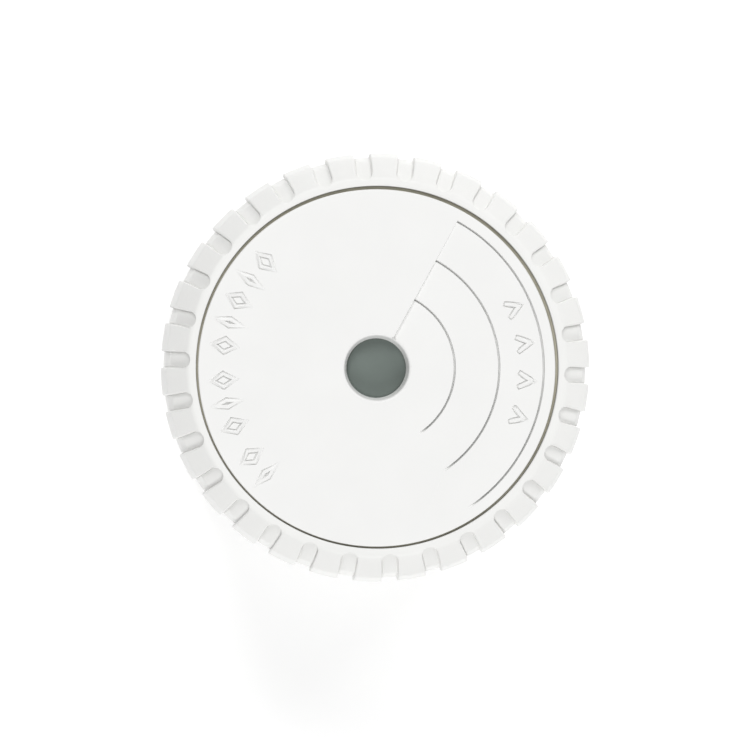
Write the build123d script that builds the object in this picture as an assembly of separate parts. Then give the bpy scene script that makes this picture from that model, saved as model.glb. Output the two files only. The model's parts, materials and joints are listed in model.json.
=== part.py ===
from build123d import *
import math
import os

# Micro photoelectric smoke alarm. Millimetres. +Z points out of the front face, and the origin is
# the centre of the mounting plate's back face, which lies on the ceiling.

# ---------------------------------------------------------------- driving dimensions
OUTER_R = 27.0          # over the grip teeth
HEIGHT = 45.0           # mounting face to front face
GAP = 0.38              # slot between the front disc and its ring
WALL = 1.5              # moulded wall
TEETH = 30              # grip notches round the ring
TOOTH_PHASE = 3.8       # angle of the first tooth's middle, in degrees
SCREW_ANGLES = (50, 130, 270)
HOOK_ANGLES = (90, 210, 330)
SPRING_ANGLES = (30, 150, 270)
LUG_ANGLES = (20, 140, 260)
DISC_TRAVEL = 0.8       # how far the disc presses in
SWITCH_TRAVEL = 0.25
CLEAR = 0.1             # gap round a loose fit

# Grip ring, seen in section
BORE_R = 22.81
FLAT_R = 23.85          # outside of the flat band round the disc
CONE_R = 26.5           # foot of the sloping band
CONE_Z = HEIGHT - 2.4
WALL_FOOT_Z = HEIGHT - 6.0
RING_FOOT_Z = 34.5
NOTCH_DEPTH = 0.54
NOTCH_W = 2.2
NOTCH_END_R = 23.6      # innermost point of a notch's round end
TUBE_R = 24.2           # outside of the tube inside the ring, and of the vent band
TUBE_IN_R = 23.0
SEAM_Z = 24.0
BODY_R = 25.4

# Front disc
DISC_R = BORE_R - GAP
DISC_TOP = HEIGHT - 0.2
DISC_T = 1.8
LENS_HOLE_R = 4.05
LENS_R = 3.72
LENS_TOP = DISC_TOP - 2.2
STEP = 0.25             # height of each terrace at its deep end
BAND_RADII = (9.82, 15.42, 21.02)
RAMP_START, RAMP_END = -56.7, 61.3
MARK_H = 0.15
MARK_STROKE = 0.45
MARK_IN_R, MARK_OUT_R = 17.7, 21.0

# Decks and boards, from the ceiling outwards
PLATE_T = 1.6
PLATE_R = 20.6
TAB_Z, TAB_TOP = 2.6, 4.2
TAB_R = 23.2
SKIRT_Z = 0.6
SKIRT_IN_R = 23.6
LUG_IN_R = 21.0
LUG_Z, LUG_TOP = 0.9, 2.3
FLOOR_Z, FLOOR_TOP = 5.2, 6.8
BATTERY_R, BATTERY_L, BATTERY_Z = 7.8, 27.0, 15.0
BOARD_T = 1.2
BOARD_TOP = SEAM_Z + BOARD_T
BOARD_R = 22.4
PILLAR_AT_R = 20.5
LEDGE_Z, LEDGE_TOP, LEDGE_IN_R = 39.0, 40.2, 18.8
CHAMBER_R = 13.8
CHAMBER_Z = BOARD_TOP + 0.2
CHAMBER_TOP = 34.2
CHAMBER_FLOOR_T = 1.5
SCREEN_IN_R, SCREEN_T = 14.0, 0.25
SCREEN_Z, SCREEN_TOP = CHAMBER_Z + 1.0, CHAMBER_TOP - 0.8
HORN_Z, HORN_TOP = CHAMBER_TOP + 0.2, 38.4
HORN_R = 13.8
SIDE_X = 17.1           # the test post and the light guide's leg stand here, each side


# ---------------------------------------------------------------- helpers
def rod(radius, low, high, x=0.0, y=0.0):
    """A cylinder standing on z = low."""
    return Pos(x, y, (low + high) / 2) * Cylinder(radius, high - low)


def tube(outer, inner, low, high, x=0.0, y=0.0):
    """A hollow cylinder."""
    return rod(outer, low, high, x, y) - rod(inner, low - 1, high + 1, x, y)


def block(x0, x1, y0, y1, z0, z1):
    """A box between opposite corners."""
    return Pos((x0 + x1) / 2, (y0 + y1) / 2, (z0 + z1) / 2) * Box(x1 - x0, y1 - y0, z1 - z0)


def turned(points):
    """A solid of revolution about Z from its half section, given as (radius, z)."""
    outline = make_face(Polyline([(r, 0, z) for r, z in points], close=True))
    return revolve(outline, Axis.Z, 360)


def polar(radius, angle):
    """(x, y) of a point given by its radius and its angle in degrees."""
    return radius * math.cos(math.radians(angle)), radius * math.sin(math.radians(angle))


def spoke(shape, angle):
    """The shape turned about Z."""
    return Rot(0, 0, angle) * shape


def sector(outer, inner, start, end):
    """A flat piece of a ring between two angles."""
    points = [polar(inner, start), polar(outer, start)]
    half = (start + end) / 2
    outline = Line(points[0], points[1])
    outline += ThreePointArc(points[1], polar(outer, half), polar(outer, end))
    outline += Line(polar(outer, end), polar(inner, end))
    outline += ThreePointArc(polar(inner, end), polar(inner, half), points[0])
    return make_face(outline)


def arc_block(outer, inner, start, end, low, high):
    """A piece of a ring between two angles and two heights."""
    return Pos(0, 0, low) * extrude(sector(outer, inner, start, end), high - low)


def soften(shape, edges, radius):
    """Rounds the edges, or leaves them sharp where the kernel can't."""
    try:
        rounded = fillet(edges, radius)
    except Exception:
        print("kept sharp:", len(edges), "edges at", radius)
        return shape
    return rounded if rounded.is_valid else shape


def bent_wire(points, radius, bend):
    """A round wire along straight runs joined by arcs."""
    path = FilletPolyline(*points, radius=bend)
    start = Plane(origin=path @ 0, z_dir=path % 0)
    return sweep(start * Circle(radius), path)


def save(name, *shapes):
    """Writes one sub-part, as one or several solids."""
    solids = [solid for shape in shapes for solid in shape.solids()]
    export_step(solids[0] if len(solids) == 1 else Compound(children=solids), f"parts/{name}.step")


# ---------------------------------------------------------------- mounting plate
SLOT_PITCH, SLOT_L, SLOT_W = 24.0, 8.0, 4.4
TAB_BEFORE, TAB_AFTER, LUG_HALF = 12.5, 11.0, 9.0   # degrees either side of a lug's middle
STOP_SPAN = 3.0
COLLAR_T = 1.4
RIB_T, RIB_H = 1.2, 0.9
HUB_RING_R = 5.6


def mounting_plate():
    """A dished disc with three overhanging tabs, each with a stop at its locked end."""
    plate = rod(PLATE_R, 0, PLATE_T) + tube(PLATE_R, PLATE_R - COLLAR_T, 0, TAB_TOP)
    plate = soften(plate, plate.faces().sort_by(Axis.Z)[0].outer_wire().edges(), 0.3)
    for angle in LUG_ANGLES:
        plate += arc_block(TAB_R, PLATE_R - 0.5, angle - TAB_BEFORE, angle + TAB_AFTER, TAB_Z, TAB_TOP)
        stop_end = angle - TAB_BEFORE + STOP_SPAN
        plate += arc_block(TAB_R, PLATE_R - 0.5, angle - TAB_BEFORE, stop_end, LUG_Z, TAB_TOP)
    rib = block(HUB_RING_R - 0.6, PLATE_R - 1.0, -RIB_T / 2, RIB_T / 2, PLATE_T, PLATE_T + RIB_H)
    for angle in range(45, 360, 90):
        plate += spoke(rib, angle)
    plate += tube(HUB_RING_R, HUB_RING_R - RIB_T, 0, PLATE_T + RIB_H)
    for side in (-1, 1):
        slot = extrude(SlotOverall(SLOT_L, SLOT_W), PLATE_T + 2)
        plate -= Pos(side * SLOT_PITCH / 2, 0, -1) * slot
    return plate


# ---------------------------------------------------------------- rear cover
DOOR_X, DOOR_Y, DOOR_T = 16.4, 9.4, 1.3
BATTERY_HOLE_X, BATTERY_HOLE_Y = 14.9, 8.3
SCREW_SEAT_Z = 18.0
REAR_PILLAR_R, COUNTERBORE_R, SCREW_HOLE_R = 2.4, 1.95, 1.15
FLARE = 0.4
RAIL_IN, RAIL_OUT, RAIL_TOP = 8.1, 9.5, 17.0
END_WALL_IN, END_WALL_OUT, END_WALL_TOP = 16.6, 17.6, 14.0


def rear_cover():
    """A deep cup with a skirt round the mounting plate, three lugs and three screw pillars."""
    shell = turned([
        (0, FLOOR_Z), (SKIRT_IN_R, FLOOR_Z), (SKIRT_IN_R, SKIRT_Z), (BODY_R - 0.1, SKIRT_Z),
        (BODY_R + FLARE, SKIRT_Z + 0.7), (BODY_R, SEAM_Z), (BODY_R - WALL, SEAM_Z),
        (BODY_R - WALL, FLOOR_TOP), (0, FLOOR_TOP),
    ])
    for angle in LUG_ANGLES:
        shell += arc_block(SKIRT_IN_R + 0.5, LUG_IN_R, angle - LUG_HALF, angle + LUG_HALF, LUG_Z, LUG_TOP)
    shell += walls_round_battery()
    for angle in SCREW_ANGLES:
        x, y = polar(PILLAR_AT_R, angle)
        shell += rod(REAR_PILLAR_R, FLOOR_Z, SEAM_Z, x, y)
        shell -= rod(COUNTERBORE_R, FLOOR_Z - 1, SCREW_SEAT_Z, x, y)
        shell -= rod(SCREW_HOLE_R, FLOOR_Z, SEAM_Z + 1, x, y)
    shell -= block(-DOOR_X, DOOR_X, -DOOR_Y, DOOR_Y, FLOOR_Z - 1, FLOOR_Z + DOOR_T)
    shell -= block(-BATTERY_HOLE_X, BATTERY_HOLE_X, -BATTERY_HOLE_Y, BATTERY_HOLE_Y, FLOOR_Z, FLOOR_TOP + 1)
    return shell


def walls_round_battery():
    """A rail along each side of the cell, and a wall behind each of its contacts."""
    walls = []
    for side in (-1, 1):
        rail = sorted((side * RAIL_IN, side * RAIL_OUT))
        walls.append(block(-15.8, 15.8, *rail, FLOOR_Z, RAIL_TOP))
        for end in (-1, 1):
            corner = sorted((end * 15.0, end * END_WALL_OUT))
            walls.append(block(*corner, *rail, FLOOR_Z, END_WALL_TOP))
    for end in (-1, 1):
        across = sorted((end * END_WALL_IN, end * END_WALL_OUT))
        walls.append(block(*across, -RAIL_OUT, RAIL_OUT, FLOOR_Z, END_WALL_TOP))
    return walls


def battery_door():
    """A flat door with grip grooves, two tongues at one end and a snap at the other."""
    top = FLOOR_Z + DOOR_T
    half_x, half_y = DOOR_X - CLEAR, DOOR_Y - CLEAR
    door = block(-half_x, half_x, -half_y, half_y, FLOOR_Z, top - 0.05)
    door = soften(door, door.edges().filter_by(Axis.Z), 1.0)
    for row in range(5):
        groove_y = -4.2 + row * 2
        door -= block(9.0, 13.5, groove_y, groove_y + 0.6, FLOOR_Z - 1, FLOOR_Z + 0.35)
    for y in (-5.0, 5.0):
        door += block(-14.8, -13.9, y - 1.5, y + 1.5, top - 0.3, FLOOR_TOP + 0.6)
    return door + block(13.9, 14.8, -2.5, 2.5, top - 0.3, FLOOR_TOP + 0.9)


# ---------------------------------------------------------------- front cover
SLOT_LOW, SLOT_HIGH, VENT_W = 26.6, 33.4, 3.2
POCKET_TOP = 41.4
TONGUE_OUT_R, TONGUE_H = 23.7, 1.4
FRONT_PILLAR_R, PILOT_R = 2.3, 0.8


def ring_outline(inset):
    """The grip ring's outer section from its top to its foot, moved inwards by inset."""
    slope = math.atan2(HEIGHT - CONE_Z, CONE_R - FLAT_R)
    down, back = inset * math.cos(slope), inset * math.sin(slope)
    grade = math.tan(slope)
    foot_r = CONE_R - inset
    foot_z = CONE_Z - down + (CONE_R - back - foot_r) * grade
    return [
        (FLAT_R - back, HEIGHT - down), (foot_r, foot_z),
        (OUTER_R - inset, WALL_FOOT_Z), (OUTER_R - inset, RING_FOOT_Z + 0.6),
        (OUTER_R - 0.6 - inset * 0.5, RING_FOOT_Z),
    ]


def front_cover():
    """The grip ring, the tube inside it with the vents, and the ledge that carries the disc."""
    body = turned([
        (BORE_R, LEDGE_TOP), (BORE_R, HEIGHT), *ring_outline(0),
        (OUTER_R - WALL, RING_FOOT_Z), (OUTER_R - WALL, POCKET_TOP), (TUBE_R, POCKET_TOP),
        (TUBE_R, SEAM_Z + 1.6), (BODY_R, SEAM_Z + 0.8), (BODY_R, SEAM_Z), (TONGUE_OUT_R, SEAM_Z),
        (TONGUE_OUT_R, SEAM_Z - TONGUE_H), (TUBE_IN_R, SEAM_Z - TONGUE_H), (TUBE_IN_R, LEDGE_Z),
        (LEDGE_IN_R, LEDGE_Z), (LEDGE_IN_R, LEDGE_TOP),
    ])
    body -= grip_notches()
    body -= vents()
    for angle in SCREW_ANGLES:
        x, y = polar(PILLAR_AT_R, angle)
        body += rod(FRONT_PILLAR_R, BOARD_TOP, LEDGE_Z + 0.5, x, y)
        body -= rod(PILOT_R, BOARD_TOP - 1, 34.0, x, y)
    for angle in HOOK_ANGLES:
        body -= spoke(block(HOOK_R - 0.9, HOOK_R + 0.4, -2.0, 2.0, LEDGE_Z - 1, LEDGE_TOP + 1), angle)
    for angle in SPRING_ANGLES:
        x, y = polar(SPRING_AT_R, angle)
        body += rod(SPIGOT_R, LEDGE_TOP - 0.1, LEDGE_TOP + 0.5, x, y)
    return body


def grip_notches():
    """What is cut away between the teeth: a U in plan, down to an inner cone and wall."""
    long = 6.0
    prism = extrude(SlotOverall(long * 2, NOTCH_W), HEIGHT + 2 - RING_FOOT_Z)
    inner = turned([(0, HEIGHT - 0.4), *ring_outline(NOTCH_DEPTH), (OUTER_R - 2, RING_FOOT_Z - 2),
                    (0, RING_FOOT_Z - 2)])
    notch = Pos(NOTCH_END_R + long, 0, RING_FOOT_Z - 1) * prism - inner
    start = TOOTH_PHASE + 180 / TEETH
    return [spoke(notch, start + index * 360 / TEETH) for index in range(TEETH)]


def vents():
    """Smoke inlets through the band under the ring, one below each notch."""
    hole = SlotOverall(SLOT_HIGH - SLOT_LOW, VENT_W, rotation=90)
    middle_z = (SLOT_LOW + SLOT_HIGH) / 2
    facing_out = Plane(origin=(TUBE_IN_R - 1, 0, middle_z), x_dir=(0, 1, 0), z_dir=(1, 0, 0))
    cutter = extrude(facing_out * hole, 3.5)
    start = TOOTH_PHASE + 180 / TEETH
    return [spoke(cutter, start + index * 360 / TEETH) for index in range(TEETH)]


# ---------------------------------------------------------------- front disc and lens
HOOK_R = 20.6
SPRING_AT_R, SPIGOT_R = 20.1, 0.75
HUB_R = 6.0
SKIRT_T, SKIRT_DROP = 1.0, 1.2      # the rim under the disc's edge
POST_R = 1.3


def front_disc():
    """The press-to-test disc: its face, rim, hub, snap hooks, spring spigots and switch post."""
    low = DISC_TOP - DISC_T
    hub_z = LENS_TOP - 0.9
    disc = turned([
        (LENS_HOLE_R, DISC_TOP), (DISC_R, DISC_TOP), (DISC_R, low - SKIRT_DROP),
        (DISC_R - SKIRT_T, low - SKIRT_DROP), (DISC_R - SKIRT_T, low), (HUB_R, low), (HUB_R, hub_z),
        (LENS_R + 0.9, hub_z), (LENS_R + 0.9, LENS_TOP - 0.05), (LENS_R, LENS_TOP - 0.05),
    ])
    circles = disc.edges().filter_by(GeomType.CIRCLE)
    disc = soften(disc, [edge for edge in circles if abs(edge.center().Z - DISC_TOP) < 1e-6], 0.15)
    disc -= terraces()
    for angle in HOOK_ANGLES:
        disc += spoke(hook(low), angle)
    for angle in SPRING_ANGLES:
        x, y = polar(SPRING_AT_R, angle)
        disc += rod(SPIGOT_R, low - 0.5, low + 0.1, x, y)
    disc += rod(POST_R, POST_END_Z, low + 0.1, SIDE_X, 0)
    for y in (-0.9, 0.9):
        disc += block(SIDE_X - 2.2, SIDE_X + 2.2, y - 0.4, y + 0.4, low - 2.0, low + 0.1)
    for mark in marks():
        disc += mark
    return disc


def terraces():
    """Three bands that sink towards the lens, each a ramp from nothing to its full step."""
    cuts = []
    inner_radii = (LENS_HOLE_R - 0.6, *BAND_RADII[:-1])
    for level, (inner, outer) in enumerate(zip(inner_radii, BAND_RADII)):
        cuts.append(ramp(inner, outer, STEP * (len(BAND_RADII) - level)))
    return cuts


def ramp(inner, outer, depth):
    """The space over a helical ramp that falls by depth from RAMP_START to RAMP_END."""
    span = RAMP_END - RAMP_START
    fan = Pos(0, 0, DISC_TOP) * sector(outer + 1, inner - 1, RAMP_START, RAMP_END + 10)
    twisted = Solid.extrude_linear_with_rotation(fan.face(), (0, 0, DISC_TOP), (0, 0, -depth), -span)
    return arc_block(outer, inner, RAMP_START, RAMP_END, DISC_TOP - depth - 1, DISC_TOP + 1) & twisted


def hook(low):
    """A springy leg with a barb that catches under the ledge."""
    leg = block(HOOK_R - 0.6, HOOK_R + 0.3, -1.4, 1.4, LEDGE_Z - 1.4, low + 0.1)
    barb = block(HOOK_R - 0.6, HOOK_R + 0.85, -1.4, 1.4, LEDGE_Z - 1.4, LEDGE_Z - 0.05)
    wedge = Pos(HOOK_R + 1.2, 0, LEDGE_Z - 1.6) * Rot(0, 45, 0) * Box(1.2, 4, 1.2)
    return leg + barb - wedge


def marks():
    """Raised tactile marks: lozenges in three groups by one side, chevrons on the ramp opposite."""
    shapes = []
    angle = 136.4
    for count in (5, 3, 2):
        for index in range(count):
            shapes.append(spoke(lozenge(index % 2 == 1), angle))
            angle += 8.8
        angle += 4.2
    span = RAMP_END - RAMP_START
    for angle in (-19.0, -4.8, 9.4, 23.6):
        drop = STEP * (angle - RAMP_START) / span
        shapes.append(spoke(Pos(0, 0, -drop) * chevron(), angle))
    return shapes


def lozenge(slim):
    """One hollow lozenge, its long axis along the radius."""
    half_l = (MARK_OUT_R - MARK_IN_R) / 2
    half_w = 0.55 if slim else 0.95
    middle = (MARK_OUT_R + MARK_IN_R) / 2
    corners = [(-half_l, 0), (0, -half_w), (half_l, 0), (0, half_w)]
    face = make_face(Polyline(*corners, close=True))
    if not slim:
        face -= scale(face, (1 - 2 * MARK_STROKE / half_l, 1 - MARK_STROKE / half_w, 1))
    return Pos(middle, 0, DISC_TOP - 0.3) * extrude(face, 0.3 + MARK_H)


def chevron():
    """One V that points to the rim."""
    points = [(-0.9, -1.0), (-0.4, -1.0), (1.0, 0), (-0.4, 1.0), (-0.9, 1.0), (0.45, 0)]
    return Pos(18.8, 0, DISC_TOP - 0.3) * extrude(make_face(Polyline(*points, close=True)), 0.3 + MARK_H)


def indicator_lens():
    """A flat window with a flange held under the disc's hub."""
    flange_z = LENS_TOP - 0.85
    return turned([
        (0, flange_z), (LENS_R + 0.8, flange_z), (LENS_R + 0.8, LENS_TOP - 0.1),
        (LENS_R - 0.05, LENS_TOP - 0.1), (LENS_R - 0.05, LENS_TOP), (0, LENS_TOP),
    ])


# ---------------------------------------------------------------- return springs
SPRING_R, SPRING_WIRE_R, SPRING_TURNS = 1.2, 0.16, 4
SPRING_LOW = LEDGE_TOP + 0.02
SPRING_HIGH = DISC_TOP - DISC_T - 0.02


def return_spring(angle):
    """A coil between the ledge and the disc."""
    rise = SPRING_HIGH - SPRING_LOW - 2 * SPRING_WIRE_R
    coil = Helix(rise / SPRING_TURNS, rise, SPRING_R - SPRING_WIRE_R)
    section = Plane(origin=coil @ 0, z_dir=coil % 0) * Circle(SPRING_WIRE_R)
    wire = sweep(section, coil, is_frenet=True)
    x, y = polar(SPRING_AT_R, angle)
    return Pos(x, y, SPRING_LOW + SPRING_WIRE_R) * wire


# ---------------------------------------------------------------- main board and its parts
POST_END_Z = 30.5
SWITCH_X = SIDE_X
SWITCH_TOP = 28.6
PLUNGER_TOP = POST_END_Z - (DISC_TRAVEL - SWITCH_TRAVEL)


def main_board():
    """A round board with holes for the screws and the chamber's clips."""
    board = rod(BOARD_R, SEAM_Z, BOARD_TOP)
    for angle in SCREW_ANGLES:
        x, y = polar(PILLAR_AT_R, angle)
        board -= rod(1.2, SEAM_Z - 1, BOARD_TOP + 1, x, y)
    for angle in CLIP_ANGLES:
        board -= spoke(block(CLIP_R - 0.7, CLIP_R + 0.9, -1.3, 1.3, SEAM_Z - 1, BOARD_TOP + 1), angle)
    return board


def housing_screw(angle):
    """A cross-head screw from the rear pillar into the front one."""
    x, y = polar(PILLAR_AT_R, angle)
    shank = rod(0.95, SCREW_SEAT_Z - 0.5, BOARD_TOP - 0.2, x, y)
    thread = rod(0.78, BOARD_TOP - 0.3, 31.5, x, y)
    head = rod(1.8, SCREW_SEAT_Z - 1.3, SCREW_SEAT_Z - 0.02, x, y)
    cross = Pos(x, y, SCREW_SEAT_Z - 1.2) * (Box(1.9, 0.45, 1.2) + Box(0.45, 1.9, 1.2))
    return shank + thread + head - cross


def switch_body():
    """The tactile switch's moulded box."""
    half = 2.2
    body = block(SWITCH_X - half, SWITCH_X + half, -half, half, BOARD_TOP, SWITCH_TOP - 0.35)
    body = soften(body, body.edges().filter_by(Axis.Z), 0.3)
    return body - rod(1.25, BOARD_TOP + 0.8, SWITCH_TOP, SWITCH_X, 0)


def switch_frame():
    """The tin cap over the switch's box."""
    half = 2.2
    cap = block(SWITCH_X - half, SWITCH_X + half, -half, half, SWITCH_TOP - 0.35, SWITCH_TOP)
    cap = soften(cap, cap.edges().filter_by(Axis.Z), 0.3)
    cap -= rod(1.25, SWITCH_TOP - 1, SWITCH_TOP + 1, SWITCH_X, 0)
    for y in (-half - 0.2, half):
        cap += block(SWITCH_X - 0.5, SWITCH_X + 0.5, y, y + 0.2, BOARD_TOP, SWITCH_TOP)
    return cap


def switch_plunger():
    """The switch's button, just clear of the disc's post."""
    stem = rod(1.15, BOARD_TOP + 1.3, PLUNGER_TOP, SWITCH_X, 0)
    return soften(stem, stem.edges().sort_by(Axis.Z)[-1:], 0.2)


def chip(length, width, height, x, y, top_z, turn=0):
    """A moulded package hanging under the board."""
    body = Pos(x, y, top_z - height / 2) * Rot(0, 0, turn) * Box(length, width, height)
    return soften(body, body.edges().group_by(Axis.Z)[0], 0.2)


def chip_legs(length, width, count, x, y, turn=0):
    """Two rows of gull-wing legs, under the board."""
    pitch = 1.27
    legs = []
    for row in (-1, 1):
        for index in range(count):
            along = (index - (count - 1) / 2) * pitch
            foot = Box(0.4, 0.8, 0.15)
            riser = Box(0.4, 0.15, 0.9)
            leg = Pos(along, row * (width / 2 + 0.75), SEAM_Z - 0.08) * foot
            leg += Pos(along, row * (width / 2 + 0.42), SEAM_Z - 0.45) * riser
            leg += Pos(along, row * (width / 2 + 0.25), SEAM_Z - 0.82) * Box(0.4, 0.5, 0.15)
            legs.append(Pos(x, y, 0) * Rot(0, 0, turn) * leg)
    return legs


CONTROLLER_AT = (6.8, 14.4)
DRIVER_AT = (0.0, -13.2)
INDUCTOR_AT = (-5.2, 15.2)
CAPACITOR_X, CAPACITOR_Y = 8.6, -14.2


def inductor_core():
    """A bobbin: two flanges on a waist."""
    x, y = INDUCTOR_AT
    low = SEAM_Z - 6.0
    bobbin = rod(3.9, low, low + 0.9, x, y) + rod(3.9, SEAM_Z - 1.0, SEAM_Z, x, y)
    return bobbin + rod(1.6, low, SEAM_Z, x, y)


def inductor_winding():
    """The copper wound on the bobbin."""
    x, y = INDUCTOR_AT
    return tube(3.4, 1.65, SEAM_Z - 5.05, SEAM_Z - 1.05, x, y)


def capacitor_can(x):
    """An electrolytic can, scored with a cross on its end."""
    low = SEAM_Z - 7.4
    can = rod(3.0, low, SEAM_Z - 0.7, x, CAPACITOR_Y)
    can = soften(can, can.edges().sort_by(Axis.Z)[:1], 0.4)
    for turn in (0, 90):
        groove = Pos(x, CAPACITOR_Y, low) * Rot(0, 0, turn) * Box(4.0, 0.25, 0.3)
        can -= groove
    return can


def capacitor_sleeve(x):
    low = SEAM_Z - 7.0
    return tube(3.15, 3.02, low, SEAM_Z - 0.7, x, CAPACITOR_Y)


def capacitor_bung(x):
    """The rubber plug that closes the can, against the board."""
    return rod(2.6, SEAM_Z - 0.68, SEAM_Z - 0.02, x, CAPACITOR_Y)


def chip_row(kind):
    """Small passives on the board's room side, round the chamber."""
    size = (1.6, 0.8, 0.8) if kind == "capacitor" else (1.6, 0.8, 0.45)
    start = 32 if kind == "capacitor" else 248
    pieces = []
    for index in range(6):
        x, y = polar(16.5, start + index * 9)
        turn = start + index * 9 + 90
        pieces.append(Pos(x, y, BOARD_TOP + size[2] / 2) * Rot(0, 0, turn) * Box(*size))
    return pieces


# ---------------------------------------------------------------- battery
def along_x(radius, x0, x1, z=BATTERY_Z, y=0.0):
    """A cylinder lying along X."""
    return Pos((x0 + x1) / 2, y, z) * Rot(0, 90, 0) * Cylinder(radius, x1 - x0)


def battery_cell():
    half = BATTERY_L / 2
    can = along_x(BATTERY_R - 0.15, -half, half - 1.2)
    can = soften(can, can.edges().filter_by(GeomType.CIRCLE), 0.6)
    return can + along_x(3.2, half - 1.3, half)


def battery_sleeve():
    half = BATTERY_L / 2
    return along_x(BATTERY_R, -half + 0.7, half - 1.9) - along_x(BATTERY_R - 0.14, -half - 1, half)


def positive_contact():
    plate = block(14.0, 14.3, -3.5, 3.5, 11.0, SEAM_Z - 0.05)
    dimple = along_x(1.6, BATTERY_L / 2 + 0.02, 14.1)
    foot = block(14.0, 16.0, -1.2, 1.2, SEAM_Z - 0.35, SEAM_Z - 0.05)
    return plate + dimple + foot


def negative_contact():
    plate = block(-15.3, -15.0, -3.5, 3.5, 11.0, SEAM_Z - 0.05)
    foot = block(-17.0, -15.0, -1.2, 1.2, SEAM_Z - 0.35, SEAM_Z - 0.05)
    return plate + foot


def negative_spring():
    """A coil that presses the cell forward."""
    wire_r = 0.3
    rise = 15.0 - BATTERY_L / 2 - 2 * wire_r - 0.04
    coil = Helix(rise / 2, rise, 3.0)
    section = Plane(origin=coil @ 0, z_dir=coil % 0) * Circle(wire_r)
    wire = sweep(section, coil, is_frenet=True)
    return Pos(-15.0 + wire_r + 0.02, 0, BATTERY_Z) * Rot(0, 90, 0) * wire


# ---------------------------------------------------------------- optical chamber
CLIP_R = 12.0
CLIP_ANGLES = (80, 200, 320)
VANES = 20
OPTIC_Z = CHAMBER_Z + CHAMBER_FLOOR_T + 2.4
EMITTER_ANGLE, RECEIVER_ANGLE = 205, 335
OPTIC_R = 1.5


def chamber_base():
    floor_top = CHAMBER_Z + CHAMBER_FLOOR_T
    base = rod(CHAMBER_R, CHAMBER_Z, floor_top) + rod(CHAMBER_R + 0.8, CHAMBER_Z, SCREEN_Z)
    base += vanes(floor_top)
    for angle in (EMITTER_ANGLE, RECEIVER_ANGLE):
        base += spoke(block(6.0, 12.4, -2.3, 2.3, floor_top - 0.1, OPTIC_Z + 0.9), angle)
        base -= spoke(along_x(OPTIC_R + 0.05, 5.2, 13.2, OPTIC_Z), angle)
        base -= spoke(block(12.9, 15.0, -1.5, 1.5, CHAMBER_Z - 1, OPTIC_Z), angle)
    for angle in CLIP_ANGLES:
        base += spoke(block(CLIP_R - 0.4, CLIP_R + 0.4, -1.0, 1.0, SEAM_Z - 0.8, CHAMBER_Z + 0.1), angle)
        base += spoke(block(CLIP_R - 0.4, CLIP_R + 0.8, -1.0, 1.0, SEAM_Z - 0.8, SEAM_Z - 0.05), angle)
        base += spoke(block(CLIP_R - 1.6, CLIP_R - 0.9, -1.0, 1.0, BOARD_TOP, CHAMBER_Z + 0.1), angle)
    return base


def vanes(floor_top):
    """The labyrinth: bent blades that let smoke in and keep light out."""
    blade = block(10.6, 13.4, -0.35, 0.35, floor_top - 0.1, CHAMBER_TOP - 1.3)
    bend = Pos(10.7, 0, 0) * Rot(0, 0, 120) * block(0, 2.2, -0.35, 0.35, floor_top - 0.1, CHAMBER_TOP - 1.3)
    shapes = []
    for index in range(VANES):
        angle = index * 360 / VANES + 9
        close = min(abs((angle - optic + 180) % 360 - 180) for optic in (EMITTER_ANGLE, RECEIVER_ANGLE))
        if close > 24:
            shapes.append(spoke(blade + bend, angle))
    return shapes


def chamber_cap():
    cap = rod(CHAMBER_R, CHAMBER_TOP - 1.2, CHAMBER_TOP)
    cap += rod(CHAMBER_R + 0.8, SCREEN_TOP + 0.05, CHAMBER_TOP)
    for ring in (3.0, 5.6, 8.2):
        cap += tube(ring + 0.4, ring, CHAMBER_TOP - 2.2, CHAMBER_TOP - 1.1)
    return cap


def insect_screen():
    screen = tube(SCREEN_IN_R + SCREEN_T, SCREEN_IN_R, SCREEN_Z + 0.05, SCREEN_TOP)
    rows, columns = 5, 40
    pitch = (SCREEN_TOP - SCREEN_Z - 0.6) / rows
    holes = []
    for row in range(rows):
        hole = Pos(SCREEN_IN_R, 0, SCREEN_Z + 0.35 + pitch * (row + 0.5)) * Box(2, 1.5, pitch * 0.72)
        holes += [spoke(hole, column * 360 / columns) for column in range(columns)]
    return screen - holes


def optic(angle, dome):
    """A 3 mm round optical part lying in its cradle, looking at the chamber's middle."""
    body = along_x(OPTIC_R, 7.6, 11.4, OPTIC_Z)
    flange = along_x(OPTIC_R + 0.25, 12.45, 13.0, OPTIC_Z)
    neck = along_x(OPTIC_R, 11.3, 12.5, OPTIC_Z)
    shape = body + flange + neck
    if dome:
        shape += Pos(7.6, 0, OPTIC_Z) * Sphere(OPTIC_R)
    return spoke(shape, angle)


def optic_leads(angle):
    leads = []
    for y in (-0.9, 0.9):
        run = block(13.02, 13.5, y - 0.2, y + 0.2, OPTIC_Z - 0.2, OPTIC_Z + 0.2)
        drop = block(13.3, 13.7, y - 0.2, y + 0.2, BOARD_TOP + 0.01, OPTIC_Z + 0.2)
        leads.append(spoke(run + drop, angle))
    return leads


def receiver_shield():
    """A bent tin cover over the photodiode's cradle."""
    roof_z = OPTIC_Z + OPTIC_R + 0.1
    tin = block(6.4, 12.2, -2.6, 2.6, roof_z, roof_z + 0.25)
    for low, high in ((-2.6, -2.35), (2.35, 2.6)):
        tin += block(6.4, 12.2, low, high, CHAMBER_Z + CHAMBER_FLOOR_T + 0.02, roof_z + 0.1)
    return spoke(tin, RECEIVER_ANGLE)


# ---------------------------------------------------------------- sounder
PIEZO_R, PIEZO_Z = 12.9, 35.6
PORT_R, PORT_AT = 2.2, (0.0, 7.0)
LEAD_ANGLE = 232
CUP_LEG_ANGLES = (22, 120, 305)


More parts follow.
